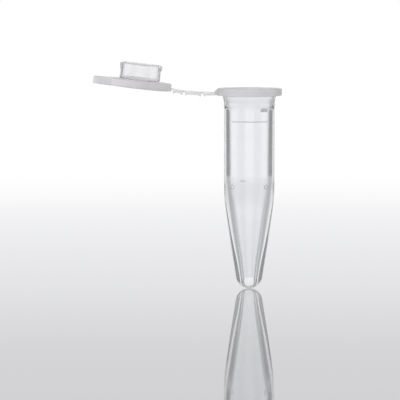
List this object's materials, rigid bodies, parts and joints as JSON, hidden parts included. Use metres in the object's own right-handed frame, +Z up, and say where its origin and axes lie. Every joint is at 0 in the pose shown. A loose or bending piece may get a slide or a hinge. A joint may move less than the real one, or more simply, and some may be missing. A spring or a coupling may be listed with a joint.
{
  "type": "microcentrifuge tube",
  "caption": "Clear conical microcentrifuge tube with a flanged mouth and a snap cap that is folded open on a strap with living hinges.",
  "frame": {"origin": "on the tube's axis, where the straight wall ends under the flared neck, 2.15 mm below the flange's underside", "axes": "+Z up along the tube's axis to the mouth; the strap and the open cap lie towards -X; the volume marks face -Y"},
  "size_m": [0.0376, 0.013, 0.0453],
  "materials": {
    "tube_polypropylene": "clear, polished mould surface",
    "cap_polypropylene": "hazy, lightly textured",
    "hinge_polypropylene": "hazy, stress-whitened at the folds",
    "raised_marks": "fine frosted"
  },
  "bodies": {
    "tube": {"tube_body": "tube_polypropylene", "mouth_flange": "tube_polypropylene", "strap_anchor": "tube_polypropylene", "strap_root": "hinge_polypropylene", "volume_lines": "raised_marks", "moulded_marks": "raised_marks"},
    "middle_link": {"strap_middle_link": "hinge_polypropylene", "hinge_web_lower": "hinge_polypropylene"},
    "cap_link": {"strap_cap_link": "hinge_polypropylene", "hinge_web_upper": "hinge_polypropylene"},
    "cap": {"cap_disc": "cap_polypropylene", "cap_plug": "cap_polypropylene", "seal_bead": "cap_polypropylene", "thumb_tab": "cap_polypropylene", "cap_strap_lug": "cap_polypropylene", "hinge_web_cap": "hinge_polypropylene"}
  },
  "joints": [
    {"name": "lower_fold", "type": "hinge", "parent": "tube", "child": "middle_link", "pos_m": [-0.0094, 0, 0.00275], "axis": [0, 1, 0], "range_deg": [-12, 100.89], "deforming": ["hinge_web_lower"]},
    {"name": "upper_fold", "type": "hinge", "parent": "middle_link", "child": "cap_link", "pos_m": [-0.01299, 0, 0.00299], "axis": [0, 1, 0], "range_deg": [-13.2, 110.55], "deforming": ["hinge_web_upper"]},
    {"name": "cap_bend", "type": "hinge", "parent": "cap_link", "child": "cap", "pos_m": [-0.01535, 0, 0.00343], "axis": [0, 1, 0], "range_deg": [-37.95, 4.57], "deforming": ["hinge_web_cap"]}
  ],
  "couplings": [
    {"joint": "upper_fold", "follows": "lower_fold", "ratio": 1.0951},
    {"joint": "cap_bend", "follows": "lower_fold", "ratio": -0.37547}
  ]
}
